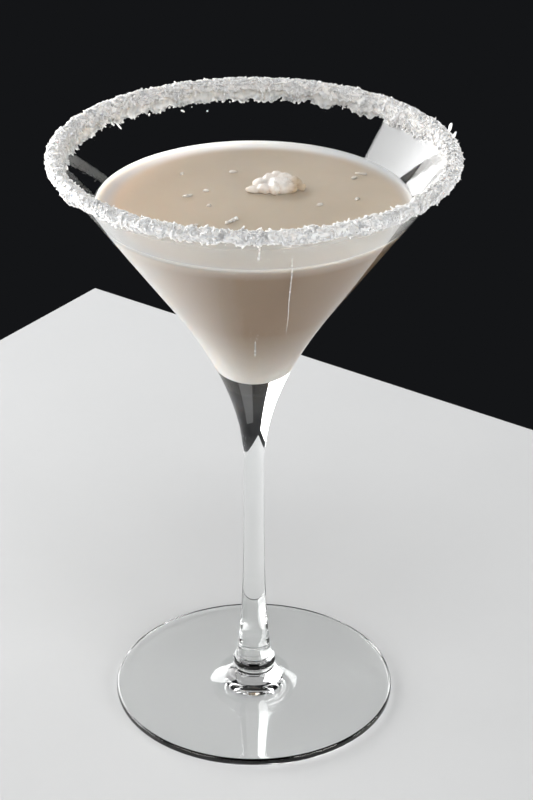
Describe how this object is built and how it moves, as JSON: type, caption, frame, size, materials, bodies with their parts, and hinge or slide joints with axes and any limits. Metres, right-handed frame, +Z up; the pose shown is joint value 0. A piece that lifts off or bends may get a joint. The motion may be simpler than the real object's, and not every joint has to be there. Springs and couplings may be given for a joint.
{
  "type": "martini cocktail",
  "caption": "Creamy cocktail in a stemmed V-shaped martini glass, with a desiccated coconut crust round the rim and coconut floating on the drink.",
  "frame": {"origin": "centre of the whole's bounding box at its base, on the glass's axis where the foot rests", "axes": "+Z up along the stem to the rim; the side seen in the picture faces -Y, with +X to its right"},
  "size_m": [0.12, 0.1203, 0.1876],
  "materials": {
    "clear_glass": "clear polished glass",
    "cream_drink": "smooth opaque cream liquid",
    "coconut": "dry shredded coconut",
    "wet_coconut": "wet shredded coconut"
  },
  "bodies": {
    "root": {"glass": "clear_glass", "drink": "cream_drink", "rim_coconut": "coconut", "coconut_clump": "wet_coconut"}
  },
  "joints": []
}
